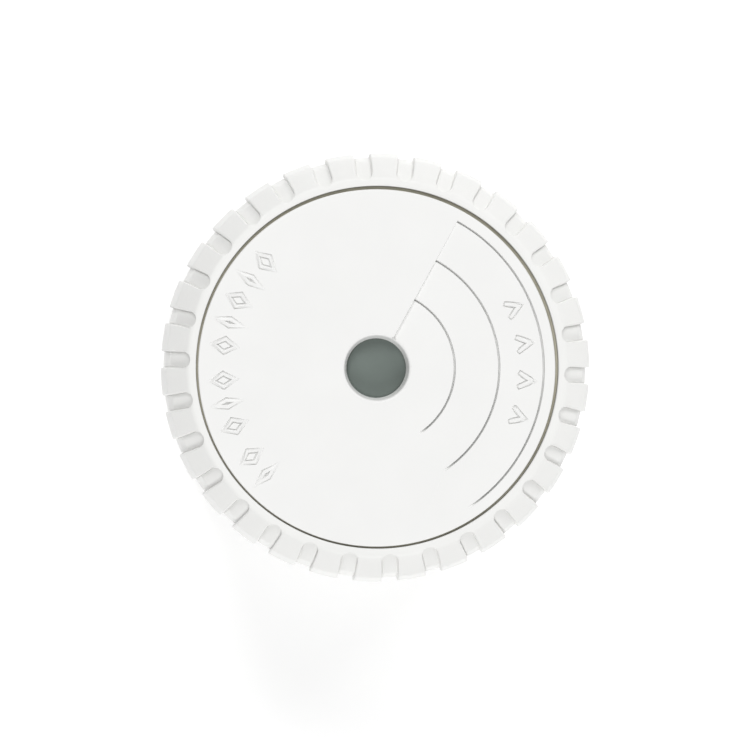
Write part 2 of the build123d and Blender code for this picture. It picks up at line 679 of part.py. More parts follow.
def horn_cup():
    cup = tube(HORN_R, PIEZO_R - 0.9, HORN_Z, HORN_TOP) + rod(HORN_R, HORN_TOP - 1.0, HORN_TOP)
    for angle in CUP_LEG_ANGLES:
        leg = block(HORN_R + 1.0, HORN_R + 1.8, -1.2, 1.2, BOARD_TOP, HORN_TOP)
        leg += block(HORN_R - 0.5, HORN_R + 1.8, -1.2, 1.2, HORN_Z + 1.0, HORN_TOP)
        cup += spoke(leg, angle)
    cup -= rod(PIEZO_R + 0.1, HORN_Z - 1, PIEZO_Z + 0.3)
    cup += tube(PORT_R + 0.8, PORT_R, HORN_TOP - 1.6, HORN_TOP + 0.01, *PORT_AT)
    cup -= rod(PORT_R, HORN_TOP - 3, HORN_TOP + 1, *PORT_AT)
    for y in (-2.0, 2.0):
        cup += block(-13.0, -2.5, y - 0.35, y + 0.35, HORN_TOP - 0.1, HORN_TOP + 1.0)
    cup -= spoke(block(HORN_R - 2.0, HORN_R + 1, -2.2, 2.2, HORN_Z - 0.5, PIEZO_Z + 0.3), LEAD_ANGLE)
    return cup


def piezo_plate():
    return rod(PIEZO_R, PIEZO_Z, PIEZO_Z + 0.25)


def piezo_ceramic():
    return rod(9.4, PIEZO_Z - 0.27, PIEZO_Z - 0.02)


def piezo_gasket():
    ring = tube(PIEZO_R, PIEZO_R - 1.6, HORN_Z + 0.05, PIEZO_Z - 0.03)
    return ring - spoke(block(PIEZO_R - 2.5, PIEZO_R + 1, -2.0, 2.0, HORN_Z - 1, PIEZO_Z), LEAD_ANGLE)


def sounder_lead(index):
    """One insulated lead from the sounder's edge down to the board."""
    side = (index - 1) * 1.3
    start = HORN_R - 2.4
    points = [(start, side, PIEZO_Z - 0.55), (SIDE_X - 0.9 + 0.2 * index, side, PIEZO_Z - 0.55),
              (SIDE_X - 0.9 + 0.2 * index, side, BOARD_TOP + 0.02)]
    return spoke(bent_wire(points, 0.4, 1.2), LEAD_ANGLE)


# ---------------------------------------------------------------- light path
GUIDE_Z = HORN_TOP + 0.15


def status_led():
    body = rod(1.25, BOARD_TOP, BOARD_TOP + 2.0, -SIDE_X, 0)
    body += rod(1.4, BOARD_TOP, BOARD_TOP + 0.6, -SIDE_X, 0)
    return soften(body, body.edges().sort_by(Axis.Z)[-1:], 0.6)


def light_guide():
    leg = rod(1.1, BOARD_TOP + 2.3, GUIDE_Z + 1.4, -SIDE_X, 0)
    arm = block(-SIDE_X, 0, -1.1, 1.1, GUIDE_Z, GUIDE_Z + 1.4)
    guide = leg + arm + rod(2.4, GUIDE_Z, GUIDE_Z + 1.9)
    corner = Pos(-SIDE_X - 1.1, 0, GUIDE_Z + 1.4) * Rot(0, 45, 0) * Box(1.4, 4, 1.4)
    return guide - corner


# ---------------------------------------------------------------- write every sub-part
def main():
    os.makedirs("parts", exist_ok=True)
    save("mounting_plate", mounting_plate())
    save("rear_cover", rear_cover())
    save("battery_door", battery_door())
    save("front_cover", front_cover())
    save("front_disc", front_disc())
    save("indicator_lens", indicator_lens())
    save("return_springs", *[return_spring(angle) for angle in SPRING_ANGLES])
    save("housing_screws", *[housing_screw(angle) for angle in SCREW_ANGLES])
    save("main_board", main_board())
    save("test_switch_body", switch_body())
    save("test_switch_frame", switch_frame())
    save("test_switch_plunger", switch_plunger())
    save("controller_chip", chip(8.7, 3.9, 1.5, *CONTROLLER_AT, SEAM_Z - 0.12, 90))
    save("controller_legs", *chip_legs(8.7, 3.9, 6, *CONTROLLER_AT, 90))
    save("horn_driver_chip", chip(4.9, 3.9, 1.5, *DRIVER_AT, SEAM_Z - 0.12))
    save("horn_driver_legs", *chip_legs(4.9, 3.9, 4, *DRIVER_AT))
    save("boost_coil_core", inductor_core())
    save("boost_coil_winding", inductor_winding())
    for side, name in ((-1, "left"), (1, "right")):
        save(f"capacitor_can_{name}", capacitor_can(side * CAPACITOR_X))
        save(f"capacitor_sleeve_{name}", capacitor_sleeve(side * CAPACITOR_X))
        save(f"capacitor_bung_{name}", capacitor_bung(side * CAPACITOR_X))
    save("ceramic_capacitors", *chip_row("capacitor"))
    save("chip_resistors", *chip_row("resistor"))
    save("battery_cell", battery_cell())
    save("battery_sleeve", battery_sleeve())
    save("battery_positive_contact", positive_contact())
    save("battery_negative_contact", negative_contact())
    save("battery_spring", negative_spring())
    save("chamber_base", chamber_base())
    save("chamber_cap", chamber_cap())
    save("insect_screen", insect_screen())
    save("infrared_emitter", optic(EMITTER_ANGLE, True))
    save("emitter_leads", *optic_leads(EMITTER_ANGLE))
    save("photodiode", optic(RECEIVER_ANGLE, True))
    save("photodiode_leads", *optic_leads(RECEIVER_ANGLE))
    save("photodiode_shield", receiver_shield())
    save("horn_cup", horn_cup())
    save("piezo_plate", piezo_plate())
    save("piezo_ceramic", piezo_ceramic())
    save("piezo_gasket", piezo_gasket())
    for index, colour in enumerate(("red", "black", "white")):
        save(f"sounder_lead_{colour}", sounder_lead(index))
    save("status_led", status_led())
    save("light_guide", light_guide())


main()
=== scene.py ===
import json
import math

import bmesh
import bpy
from mathutils import Matrix, Vector
from mathutils.geometry import delaunay_2d_cdt


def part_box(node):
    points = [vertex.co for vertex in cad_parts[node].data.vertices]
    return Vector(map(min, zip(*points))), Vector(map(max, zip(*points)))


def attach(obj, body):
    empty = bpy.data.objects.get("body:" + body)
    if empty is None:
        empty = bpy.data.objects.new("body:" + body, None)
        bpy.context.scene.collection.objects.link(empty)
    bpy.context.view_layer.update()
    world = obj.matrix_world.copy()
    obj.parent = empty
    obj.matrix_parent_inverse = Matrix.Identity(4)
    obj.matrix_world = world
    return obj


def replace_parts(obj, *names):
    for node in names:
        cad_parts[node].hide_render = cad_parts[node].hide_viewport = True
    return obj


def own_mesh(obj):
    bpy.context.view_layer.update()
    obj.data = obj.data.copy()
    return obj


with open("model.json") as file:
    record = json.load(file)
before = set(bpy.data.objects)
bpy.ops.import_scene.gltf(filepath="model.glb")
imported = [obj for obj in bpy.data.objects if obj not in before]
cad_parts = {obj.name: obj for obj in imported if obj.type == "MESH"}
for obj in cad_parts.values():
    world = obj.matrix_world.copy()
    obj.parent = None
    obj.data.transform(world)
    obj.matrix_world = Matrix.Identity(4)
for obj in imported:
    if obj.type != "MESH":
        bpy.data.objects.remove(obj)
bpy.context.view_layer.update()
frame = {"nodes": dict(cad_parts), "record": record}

# A small white smoke alarm that lies on its mounting face, seen from the front. Shapes are worked
# out in millimetres in the part's frame and made in metres. Angles are in degrees, anticlockwise
# from +X.
MM = 0.001

# ---------------------------------------------------------------- sizes, in millimetres
_, COVER_HIGH = (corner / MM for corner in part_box("front_cover"))
DISC_LOW, DISC_HIGH = (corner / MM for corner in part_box("front_disc"))
LENS_LOW, LENS_HIGH = (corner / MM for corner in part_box("indicator_lens"))

TOP = COVER_HIGH.z                 # the front face
OUTER_R = min(COVER_HIGH.x, COVER_HIGH.y)    # over the teeth
GAP = 0.38                             # all round the CAD disc
BORE_R = (DISC_HIGH.x - DISC_LOW.x) / 2 + GAP
SEEN_GAP = 0.33                        # all round the disc that is drawn here
DISC_R = BORE_R - SEEN_GAP
DISC_LEAN, LEAN_ANGLE = 0.11, 240      # the loose disc rests a little off centre
FLAT_R = BORE_R + 1.04                 # the flat band round the disc ends here
CONE_R, CONE_Z = OUTER_R - 0.5, TOP - 2.4     # the foot of the slope outside it
WALL_FOOT_Z = TOP - 6.0                # the grip is widest from here down
RING_FOOT_Z = TOP - 10.5
FOOT_TURN = 0.6                        # the ring's lower edge turns in by this much
TUBE_R, TUBE_IN_R = BORE_R + 1.39, BORE_R + 0.19     # the vented band
LEDGE_Z, LEDGE_TOP, LEDGE_IN_R = TOP - 6.0, TOP - 4.8, 18.8   # the ledge under the disc
SKIRT_IN_R = OUTER_R - 1.5             # inside the grip ring's overhang
POCKET_TOP = TOP - 3.6
SEAM_Z = TOP - 21.0                    # the front cover meets the rear cover
BODY_R = 25.4
TEETH = 30
TOOTH_PHASE = 3.8
PITCH = 360 / TEETH
NOTCH_W, NOTCH_DEPTH = 2.2, 0.54
NOTCH_CENTRE_R = 23.6 + NOTCH_W / 2    # centre of a notch's round end
VENT_LOW, VENT_HIGH, VENT_W = TOP - 18.4, TOP - 11.6, 3.2
PILLAR_ANGLES = (50, 130, 270)         # the housing screws' pillars
PILLAR_R, PILLAR_CENTRE_R = 2.25, 20.5
PILLAR_FOOT_Z = TOP - 19.8

DISC_TOP = TOP - 0.2
DISC_WALL = 1.8                        # the disc's thickness
STEP = 0.17                            # between one terrace and the next
BAND_RADII = (9.82, 15.42, 21.02)      # the terraces' outer edges
RAMP_START, RAMP_END = -56.7, 61.3     # the terraces grow deeper from one angle to the other
HOLE_R = 4.05
MARK_H = 0.15
MARK_IN_R, MARK_OUT_R = 17.85, 20.85


# ---------------------------------------------------------------- small geometry helpers
def polar(radius, angle):
    """The point (x, y) at a radius and an angle."""
    return radius * math.cos(math.radians(angle)), radius * math.sin(math.radians(angle))


def clamp(value, low=0.0, high=1.0):
    """The value held between two ends."""
    return max(low, min(high, value))


def ramp_between(value, points):
    """Straight interpolation through (place, height) points, level beyond both ends."""
    if value <= points[0][0]:
        return points[0][1]
    for (x0, y0), (x1, y1) in zip(points, points[1:]):
        if value <= x1:
            return y0 + (y1 - y0) * (value - x0) / (x1 - x0)
    return points[-1][1]


def rounded(points, radius, steps=4, closed=True):
    """The outline with each corner replaced by an arc of at most the radius."""
    count = len(points)
    result = []
    for index, point in enumerate(points):
        if not closed and index in (0, count - 1):
            result.append(tuple(point))
            continue
        corner = Vector(point)
        before, after = Vector(points[index - 1]), Vector(points[(index + 1) % count])
        back, ahead = before - corner, after - corner
        turn = math.pi - back.angle(ahead)
        if turn < 0.02:
            result.append(tuple(point))
            continue
        reach = min(radius * math.tan(turn / 2), 0.45 * back.length, 0.45 * ahead.length)
        start, end = corner + back.normalized() * reach, corner + ahead.normalized() * reach
        for step in range(steps + 1):
            t = step / steps
            result.append(tuple(start * (1 - t) ** 2 + corner * 2 * t * (1 - t) + end * t ** 2))
    return result


class Shell:
    """Collects vertices in millimetres and faces, then becomes one piece."""

    def __init__(self):
        """Starts with nothing in it."""
        self.points = []
        self.faces = []

    def add(self, points, faces, flip=False):
        """Takes in vertices, and faces that count from the first of them."""
        base = len(self.points)
        self.points.extend(points)
        for face in faces:
            order = reversed(face) if flip else face
            self.faces.append(tuple(base + index for index in order))

    def lathe(self, profile, segments=360, closed=True, start=0.0):
        """Turns an outline of (radius, z) about Z. Anticlockwise outlines face outwards."""
        count = len(profile)
        points = []
        for step in range(segments):
            angle = start + step * 360 / segments
            points += [(*polar(radius, angle), z) for radius, z in profile]
        faces = []
        for step in range(segments):
            here, there = step * count, (step + 1) % segments * count
            for index in range(count if closed else count - 1):
                after = (index + 1) % count
                faces.append((here + index, there + index, there + after, here + after))
        self.add(points, faces)

    def prism(self, outline, low, high, bevel=0.0):
        """An upright solid on an anticlockwise outline, with its top edge chamfered."""
        count = len(outline)
        middle = sum((Vector(point) for point in outline), Vector((0, 0))) / count
        rings = [(outline, low), (outline, high - bevel)]
        if bevel:
            inset = []
            for point in outline:
                arm = Vector(point) - middle
                inset.append(tuple(middle + arm * max(0.1, 1 - bevel / arm.length)))
            rings.append((inset, high))
        points = [(x, y, z) for ring, z in rings for x, y in ring]
        faces = [tuple(reversed(range(count)))]
        for level in range(len(rings) - 1):
            for index in range(count):
                after = (index + 1) % count
                a, b = level * count + index, level * count + after
                faces.append((a, b, b + count, a + count))
        top = (len(rings) - 1) * count
        faces.append(tuple(range(top, top + count)))
        self.add(points, faces)

    def piece(self, name, slot, body, sharp=32, weld=0.004, finish=None):
        """The finished Blender object, which rides on a body. A finish other than its slot's own can
        be named."""
        mesh = bpy.data.meshes.new(name)
        mesh.from_pydata([tuple(c * MM for c in point) for point in self.points], [], self.faces)
        tidy = bmesh.new()
        tidy.from_mesh(mesh)
        bmesh.ops.remove_doubles(tidy, verts=tidy.verts, dist=weld * MM)
        bmesh.ops.recalc_face_normals(tidy, faces=tidy.faces)
        tidy.to_mesh(mesh)
        tidy.free()
        for polygon in mesh.polygons:
            polygon.use_smooth = True
        mesh.set_sharp_from_angle(angle=math.radians(sharp))
        made = bpy.data.objects.new(name, mesh)
        bpy.context.scene.collection.objects.link(made)
        even = made.modifiers.new("even_normals", "WEIGHTED_NORMAL")
        even.keep_sharp = True
        mesh.materials.append(MATERIALS[finish or slot])
        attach(made, body)
        return made


def circle(radius, x=0.0, y=0.0, count=24):
    """A circle's outline about a point."""
    spokes = [polar(radius, index * 360 / count) for index in range(count)]
    return [(x + across, y + along) for across, along in spokes]


def box_outline(x0, x1, y0, y1):
    """A rectangle's outline between two corners."""
    return [(x0, y0), (x1, y0), (x1, y1), (x0, y1)]


def turned_outline(outline, angle):
    """The outline turned about the middle of the part."""
    c, s = math.cos(math.radians(angle)), math.sin(math.radians(angle))
    return [(x * c - y * s, x * s + y * c) for x, y in outline]


def triangulate(lines, keep):
    """Flat triangles that follow every line. A line is a list of points; keep tells by a triangle's
    middle whether it stays."""
    points, edges = [], []
    for line in lines:
        base = len(points)
        points += [Vector(point) for point in line]
        edges += [(base + i, base + i + 1) for i in range(len(line) - 1)]
    found, _, faces, *_ = delaunay_2d_cdt(points, edges, [], 0, 1e-5)
    kept = []
    for face in faces:
        middle = sum((found[i] for i in face), Vector((0, 0))) / len(face)
        if keep(middle.x, middle.y):
            kept.append(tuple(face))
    return [(point.x, point.y) for point in found], kept


def loop(points):
    """The points with the first one again at the end."""
    return list(points) + [points[0]]


# ---------------------------------------------------------------- materials
MATERIALS = {}
DRIFT_SIZE = 6.0                        # the patches of slightly different colour, in millimetres
WAVE_BAND = 0.314                       # the pitch of a wave texture's bands at a scale of 1


def material(slot, colour, roughness, metallic=0.0, spread=0.04, grain=0.25, bump=0.2, depth=0.01,
             ridges=0.0, **extra):
    """The material of one of the record's slots, with slight colour drift, uneven gloss and a fine
    relief. grain is the relief's size and depth its height, in millimetres. ridges is the pitch of
    wound turns."""
    made = bpy.data.materials.new(f"{slot}_finish")
    MATERIALS[slot] = made
    made.use_nodes = True
    nodes, links = made.node_tree.nodes, made.node_tree.links
    shader = nodes["Principled BSDF"]
    shader.inputs["Metallic"].default_value = metallic
    for socket, value in extra.items():
        shader.inputs[socket.replace("_", " ")].default_value = value
    place = nodes.new("ShaderNodeTexCoord")

    drift = nodes.new("ShaderNodeTexNoise")
    drift.inputs["Scale"].default_value = 1 / (DRIFT_SIZE * MM)
    drift.inputs["Detail"].default_value = 4
    links.new(place.outputs["Object"], drift.inputs["Vector"])
    tint = nodes.new("ShaderNodeValToRGB")
    low = [channel * (1 - spread) for channel in colour]
    high = [min(1.0, channel * (1 + spread)) for channel in colour]
    tint.color_ramp.elements[0].position = 0.3
    tint.color_ramp.elements[0].color = (*low, 1)
    tint.color_ramp.elements[1].position = 0.7
    tint.color_ramp.elements[1].color = (*high, 1)
    links.new(drift.outputs["Fac"], tint.inputs["Fac"])
    links.new(tint.outputs["Color"], shader.inputs["Base Color"])

    fine = nodes.new("ShaderNodeTexNoise")
    fine.inputs["Scale"].default_value = 1 / (grain * MM)
    fine.inputs["Detail"].default_value = 3
    links.new(place.outputs["Object"], fine.inputs["Vector"])
    gloss = nodes.new("ShaderNodeMapRange")
    gloss.inputs["To Min"].default_value = roughness * 0.85
    gloss.inputs["To Max"].default_value = min(1.0, roughness * 1.15)
    links.new(fine.outputs["Fac"], gloss.inputs["Value"])
    links.new(gloss.outputs["Result"], shader.inputs["Roughness"])
    height = fine.outputs["Fac"]
    if ridges:
        turns = nodes.new("ShaderNodeTexWave")
        turns.bands_direction = "Z"
        turns.inputs["Scale"].default_value = WAVE_BAND / (ridges * MM)
        links.new(place.outputs["Object"], turns.inputs["Vector"])
        height = turns.outputs["Fac"]
    relief = nodes.new("ShaderNodeBump")
    relief.inputs["Strength"].default_value = bump
    relief.inputs["Distance"].default_value = depth * MM
    links.new(height, relief.inputs["Height"])
    links.new(relief.outputs["Normal"], shader.inputs["Normal"])


def plastic(slot, colour, roughness=0.5, **more):
    """A finish for plastic, rubber, ceramic and film."""
    material(slot, colour, roughness, **more)


def metal(slot, colour, roughness=0.3, **more):
    """A finish for bare metal."""
    material(slot, colour, roughness, metallic=1.0, **more)


def clear(slot, colour, roughness=0.1, through=0.9, **more):
    """A finish for clear or tinted resin that lets light through."""
    material(slot, colour, roughness, Transmission_Weight=through, IOR=1.5, **more)


plastic("white_plastic", (0.80, 0.80, 0.785), spread=0.012, grain=0.22, bump=0.35, depth=0.012)
plastic("disc_plastic", (0.81, 0.81, 0.80), 0.42, spread=0.01, grain=0.4, depth=0.008)
# A dull, dark warm grey for the lip in the disc's slot: painted shade for the gap between the disc and
# the ring
plastic("slot_shade_plastic", (0.42, 0.40, 0.32), 0.8, spread=0.12, grain=0.3, bump=0.4)
plastic("grey_plastic", (0.66, 0.66, 0.65), 0.55, spread=0.02, bump=0.35)
plastic("black_plastic", (0.03, 0.03, 0.033), 0.55, spread=0.15, bump=0.4)
plastic("package_black", (0.045, 0.045, 0.05), 0.45, spread=0.12, grain=0.06, bump=0.5)
plastic("smoked_lens", (0.14, 0.168, 0.153), 0.34, spread=0.06, grain=0.3, depth=0.006, Coat_Weight=0.2)
clear("clear_guide", (0.86, 0.89, 0.9))
clear("diode_lens", (0.75, 0.8, 0.95), 0.06)
clear("led_green", (0.2, 0.75, 0.3), 0.15, 0.75)
plastic("board_green", (0.02, 0.16, 0.07), 0.32, spread=0.2, grain=0.5, Coat_Weight=0.4)
plastic("ceramic_tan", (0.5, 0.36, 0.22), 0.5, spread=0.1, grain=0.05)
plastic("ceramic_white", (0.8, 0.79, 0.74), 0.6, spread=0.05, grain=0.05)
plastic("ferrite", (0.1, 0.1, 0.105), 0.7, spread=0.2, grain=0.08, bump=0.6)
metal("brass_sheet", (0.78, 0.6, 0.28), 0.3, spread=0.06)
metal("copper_wire", (0.72, 0.35, 0.18), 0.32, spread=0.1, bump=0.9, depth=0.08, ridges=0.22)
metal("spring_steel", (0.62, 0.62, 0.64), 0.26, spread=0.05, grain=0.08)
metal("screw_steel", (0.58, 0.59, 0.62), 0.36, spread=0.08, grain=0.12, bump=0.4)
metal("tinned_steel", (0.74, 0.74, 0.75), 0.24, spread=0.05, grain=0.3)
metal("can_aluminium", (0.8, 0.8, 0.81), 0.3, spread=0.05, grain=0.15)
plastic("sleeve_dark", (0.05, 0.06, 0.12), 0.28, spread=0.1, Coat_Weight=0.3)
plastic("sleeve_blue", (0.06, 0.14, 0.36), 0.28, spread=0.1, Coat_Weight=0.3)
plastic("foam_black", (0.05, 0.05, 0.05), 0.95, spread=0.3, grain=0.3, bump=0.9, depth=0.08)
plastic("bung_rubber", (0.1, 0.1, 0.1), 0.8, spread=0.15)
plastic("lead_red", (0.6, 0.04, 0.03), 0.5, spread=0.08)
plastic("lead_black", (0.03, 0.03, 0.03), 0.5, spread=0.15)
plastic("lead_white", (0.85, 0.85, 0.83), 0.5, spread=0.03)


def finish_cad_nodes():
    """Gives every CAD node the full version of its slot's material."""
    for part in frame["record"]["subparts"]:
        skins = frame["nodes"][part["node"]].data.materials
        skins.clear()
        skins.append(MATERIALS[part["material_slot"]])


# ---------------------------------------------------------------- front cover
START_PLACE = 0.5                       # where the bore's edge lies along the ring's section


def outline_of_ring(inset):
    """The grip ring's outer section, from the top's outer edge down to its foot."""
    slope = math.atan2(TOP - CONE_Z, CONE_R - FLAT_R)
    down, back = inset * math.cos(slope), inset * math.sin(slope)
    foot_r = CONE_R - inset
    foot_z = CONE_Z - down + (CONE_R - back - foot_r) * math.tan(slope)
    return [
        (BORE_R - START_PLACE, TOP - down), (FLAT_R - back, TOP - down), (foot_r, foot_z),
        (OUTER_R - inset, WALL_FOOT_Z), (OUTER_R - inset, RING_FOOT_Z + FOOT_TURN),
        (OUTER_R - FOOT_TURN - inset / 2, RING_FOOT_Z),
    ]


OUTER_LINE = outline_of_ring(0)
FLOOR_LINE = outline_of_ring(NOTCH_DEPTH)
LINE_PLACES = [0.0]
for before, after in zip(OUTER_LINE, OUTER_LINE[1:]):
    LINE_PLACES.append(LINE_PLACES[-1] + math.dist(before, after))
EDGE_ROUND = 0.2                        # at the bore's edge
CORNER_EASE = (0.3, 0.2, 0.13, 0.2)     # at the flat band's edge, the cone's foot and below


def on_line(line, place):
    """(radius, z) at a place along the ring's section."""
    radius = ramp_between(place, [(p, point[0]) for p, point in zip(LINE_PLACES, line)])
    z = ramp_between(place, [(p, point[1]) for p, point in zip(LINE_PLACES, line)])
    return radius, z


def ease_at(place):
    """How far the nearest corner of the section is eased, each way."""
    corners = LINE_PLACES[1:-1]
    nearest = min(range(len(corners)), key=lambda index: abs(corners[index] - place))
    return CORNER_EASE[nearest]


def softened(line, place):
    """The same with its corners eased, by averaging over a short stretch."""
    first, last = LINE_PLACES[0], LINE_PLACES[-1]
    reach = min(ease_at(place), place - first, last - place)
    samples = [on_line(line, place + reach * share) for share in (-1, -0.5, 0, 0.5, 1)]
    return sum(s[0] for s in samples) / 5, sum(s[1] for s in samples) / 5


# How deep a point is in the notch, by its distance inside the notch's outline
NOTCH_WALL = [
    (-0.07, 0.0), (-0.02, 0.04), (0.03, 0.16), (0.06, 0.45), (0.09, 1.05), (0.12, 1.15), (0.17, 1.04),
    (0.22, 1.0),
]


def inside_notch(angle, place):
    """The distance of a point on the ring's outside from the notch's outline, positive inside it."""
    radius, _ = on_line(OUTER_LINE, place)
    across = radius * math.sin(math.radians(angle))
    along = radius * math.cos(math.radians(angle)) - NOTCH_CENTRE_R
    reach = abs(across) if along > 0 else math.hypot(across, along)
    return NOTCH_W / 2 - reach


def notch_outline(inside):
    """The notch's outline, drawn this far inside it, as (angle, place) from foot to foot."""
    half = NOTCH_W / 2 - inside
    foot = LINE_PLACES[-1] + 0.02
    places = [foot, *LINE_PLACES[4:1:-1], LINE_PLACES[2] - 0.5, LINE_PLACES[2] - 1.4]
    side = []
    for place in places:
        radius, _ = on_line(OUTER_LINE, min(place, LINE_PLACES[-1]))
        side.append((math.degrees(math.asin(half / radius)), place))
    round_end = []
    steps = 18
    for step in range(steps + 1):
        turn = math.radians(90 + 180 * step / steps)
        x, y = NOTCH_CENTRE_R + half * math.cos(turn), half * math.sin(turn)
        radius = math.hypot(x, y)
        round_end.append((math.degrees(math.atan2(y, x)), place_of_radius(radius)))
    other = [(-angle, place) for angle, place in reversed(side)]
    return side + round_end + other


def place_of_radius(radius):
    """Where the ring's top section has this radius."""
    points = [(point[0], place) for point, place in zip(OUTER_LINE[:3], LINE_PLACES[:3])]
    return ramp_between(radius, points)


def grip_skin(shell):
    """The toothed outside, one notch and its two half teeth at a time."""
    last = LINE_PLACES[-1]
    half = PITCH / 2
    corners = [START_PLACE + EDGE_ROUND]
    for place, ease in zip(LINE_PLACES[1:-1], CORNER_EASE):
        corners += [place + ease * share for share in (-1, -0.5, 0, 0.5, 1)]
    corners += [last]
    extra = [LINE_PLACES[2] - 1.2, LINE_PLACES[2] - 2.4, LINE_PLACES[3] - 1.2, LINE_PLACES[3] - 2.4]
    rows = sorted(set(round(place, 4) for place in corners + extra if place >= START_PLACE + EDGE_ROUND))
    columns = [-half + index for index in range(int(PITCH) + 1)]
    lines = [[(-half, place), (half, place)] for place in rows]
    lines += [[(angle, rows[0]), (angle, last)] for angle in columns]
    lines += [notch_outline(inside) for inside, _ in NOTCH_WALL]
    flat, faces = triangulate(lines, lambda angle, place: rows[0] < place < last and abs(angle) < half)
    base = []
    for angle, place in flat:
        depth = ramp_between(inside_notch(angle, place), NOTCH_WALL)
        outer, floor = softened(OUTER_LINE, place), softened(FLOOR_LINE, place)
        radius = outer[0] + (floor[0] - outer[0]) * depth
        base.append((angle, radius, outer[1] + (floor[1] - outer[1]) * depth))
    for index in range(TEETH):
        middle = TOOTH_PHASE + PITCH * (index + 0.5)
        shell.add([(*polar(radius, angle + middle), z) for angle, radius, z in base], faces)


def vent_band(shell, low, high):
    """The tube below the ring, with a slot under each notch."""
    half = PITCH / 2
    centre_z = (VENT_LOW + VENT_HIGH) / 2
    straight = (VENT_HIGH - VENT_LOW - VENT_W) / 2
    degrees = 180 / (math.pi * TUBE_R)

    def inside(angle, z):
        """The distance of a point from the slot's outline, positive inside it."""
        across, along = angle / degrees, max(0.0, abs(z - centre_z) - straight)
        return VENT_W / 2 - math.hypot(across, along)

    def outline(inset):
        """The slot's outline as (angle, z), drawn this far inside it."""
        radius = VENT_W / 2 - inset
        points = []
        for side in (1, -1):
            for step in range(13):
                turn = math.radians(15 * step + (0 if side == 1 else 180))
                z = centre_z + side * straight + radius * math.sin(turn)
                points.append((radius * math.cos(turn) * degrees, z))
        return loop(points)

    levels = [(-0.16, 0.0), (-0.08, 0.02), (-0.02, 0.07), (0.0, 0.14)]
    columns = [-half + index for index in range(int(PITCH) + 1)]
    lines = [[(-half, z), (half, z)] for z in (low, high)]
    lines += [[(angle, low), (angle, high)] for angle in columns]
    lines += [outline(inset) for inset, _ in levels]
    flat, faces = triangulate(lines, lambda angle, z: inside(angle, z) < 0 and low < z < high)
    count = len(flat)
    sides = {side for face in faces for side in zip(face, face[1:] + face[:1])}
    on_rim = {index for index, point in enumerate(flat) if abs(inside(*point)) < 0.01}
    rim = [(a, b) for a, b in sides if (b, a) not in sides and a in on_rim and b in on_rim]
    all_faces = faces + [tuple(count + i for i in reversed(face)) for face in faces]
    all_faces += [(b, a, count + a, count + b) for a, b in rim]
    for index in range(TEETH):
        middle = TOOTH_PHASE + PITCH * (index + 0.5)
        points = []
        for angle, z in flat:
            points.append((*polar(TUBE_R - ramp_between(inside(angle, z), levels), angle + middle), z))
        points += [(*polar(TUBE_IN_R, angle + middle), z) for angle, z in flat]
        shell.add(points, all_faces)


def front_cover():
    """The grip ring, the vented band and the ledge and pillars inside them."""
    shell = Shell()
    start = TOOTH_PHASE
    grip_skin(shell)
    band_low, band_high = SEAM_Z + 1.8, RING_FOOT_Z + 0.4
    vent_band(shell, band_low, band_high)
    foot_r, foot_z = OUTER_LINE[-1]
    under = rounded([(foot_r, foot_z), (SKIRT_IN_R, foot_z), (SKIRT_IN_R, POCKET_TOP),
                     (TUBE_R, POCKET_TOP), (TUBE_R, band_high)], 0.2, closed=False)
    shell.lathe(under, closed=False, start=start)
    collar_r, collar_z = TUBE_R - 0.5, SEAM_Z - 1.4      # reaches into the rear cover
    below = rounded([(TUBE_R, band_low), (BODY_R, SEAM_Z + 0.8), (BODY_R, SEAM_Z + 0.06),
                     (BODY_R - 0.2, SEAM_Z), (collar_r, SEAM_Z), (collar_r, collar_z),
                     (TUBE_IN_R, collar_z), (TUBE_IN_R, band_low)], 0.12, closed=False)
    shell.lathe(below, closed=False, start=start)
    inner = [(TUBE_IN_R, band_high), (TUBE_IN_R, LEDGE_Z), (LEDGE_IN_R, LEDGE_Z),
             (LEDGE_IN_R, LEDGE_TOP), (BORE_R, LEDGE_TOP), (BORE_R, TOP - EDGE_ROUND)]
    for step in range(1, 5):
        turn = math.radians(90 * step / 4)
        radius = BORE_R + EDGE_ROUND * (1 - math.cos(turn))
        inner.append((radius, TOP - EDGE_ROUND * (1 - math.sin(turn))))
    shell.lathe(inner, closed=False, start=start)
    for angle in PILLAR_ANGLES:
        shell.prism(circle(PILLAR_R, *polar(PILLAR_CENTRE_R, angle)), PILLAR_FOOT_Z, LEDGE_Z + 0.4)
    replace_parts(shell.piece("grip_ring_and_vents", "white_plastic", "alarm"), "front_cover")


# ---------------------------------------------------------------- front disc
STEP_WALL = 0.09                        # the width of the slope between two levels
GROOVE_HALF, STEP_GROOVE = 0.14, 0.64   # half width and depth of the line at each terrace's edge
GROOVE_FADE = 0.4                       # the line is this much shallower where the terraces are deep
GROOVE_RUN_IN = 6                       # the angle over which the line gets its depth
HOLE_ROUND, RIM_ROUND = 0.32, 0.16
FLAT_EDGE = 0.06                        # keeps the edges' rounding out of the face's shading
HUB_R, HUB_IN_R = 6.0, 3.75             # the boss under the disc, and the opening over the lens
HUB_DROP, RIM_DROP, RIM_WALL = 1.3, 1.2, 1.0
LIP_DROP = 0.62                         # a fine lip, coloured dark to paint the shade in the slot round the disc, lies this deep
HOOK_ANGLES = (90, 210, 330)
HOOK_IN_R, HOOK_STEM_R, HOOK_TIP_R = 20.0, 20.9, 21.45
HOOK_HALF = 1.4                         # half a hook's width
POST_X, POST_R = 17.1, 1.3              # the post that pushes the test switch
POST_CLEARANCE = 0.03                   # keeps its foot just off the plunger when the disc is pressed


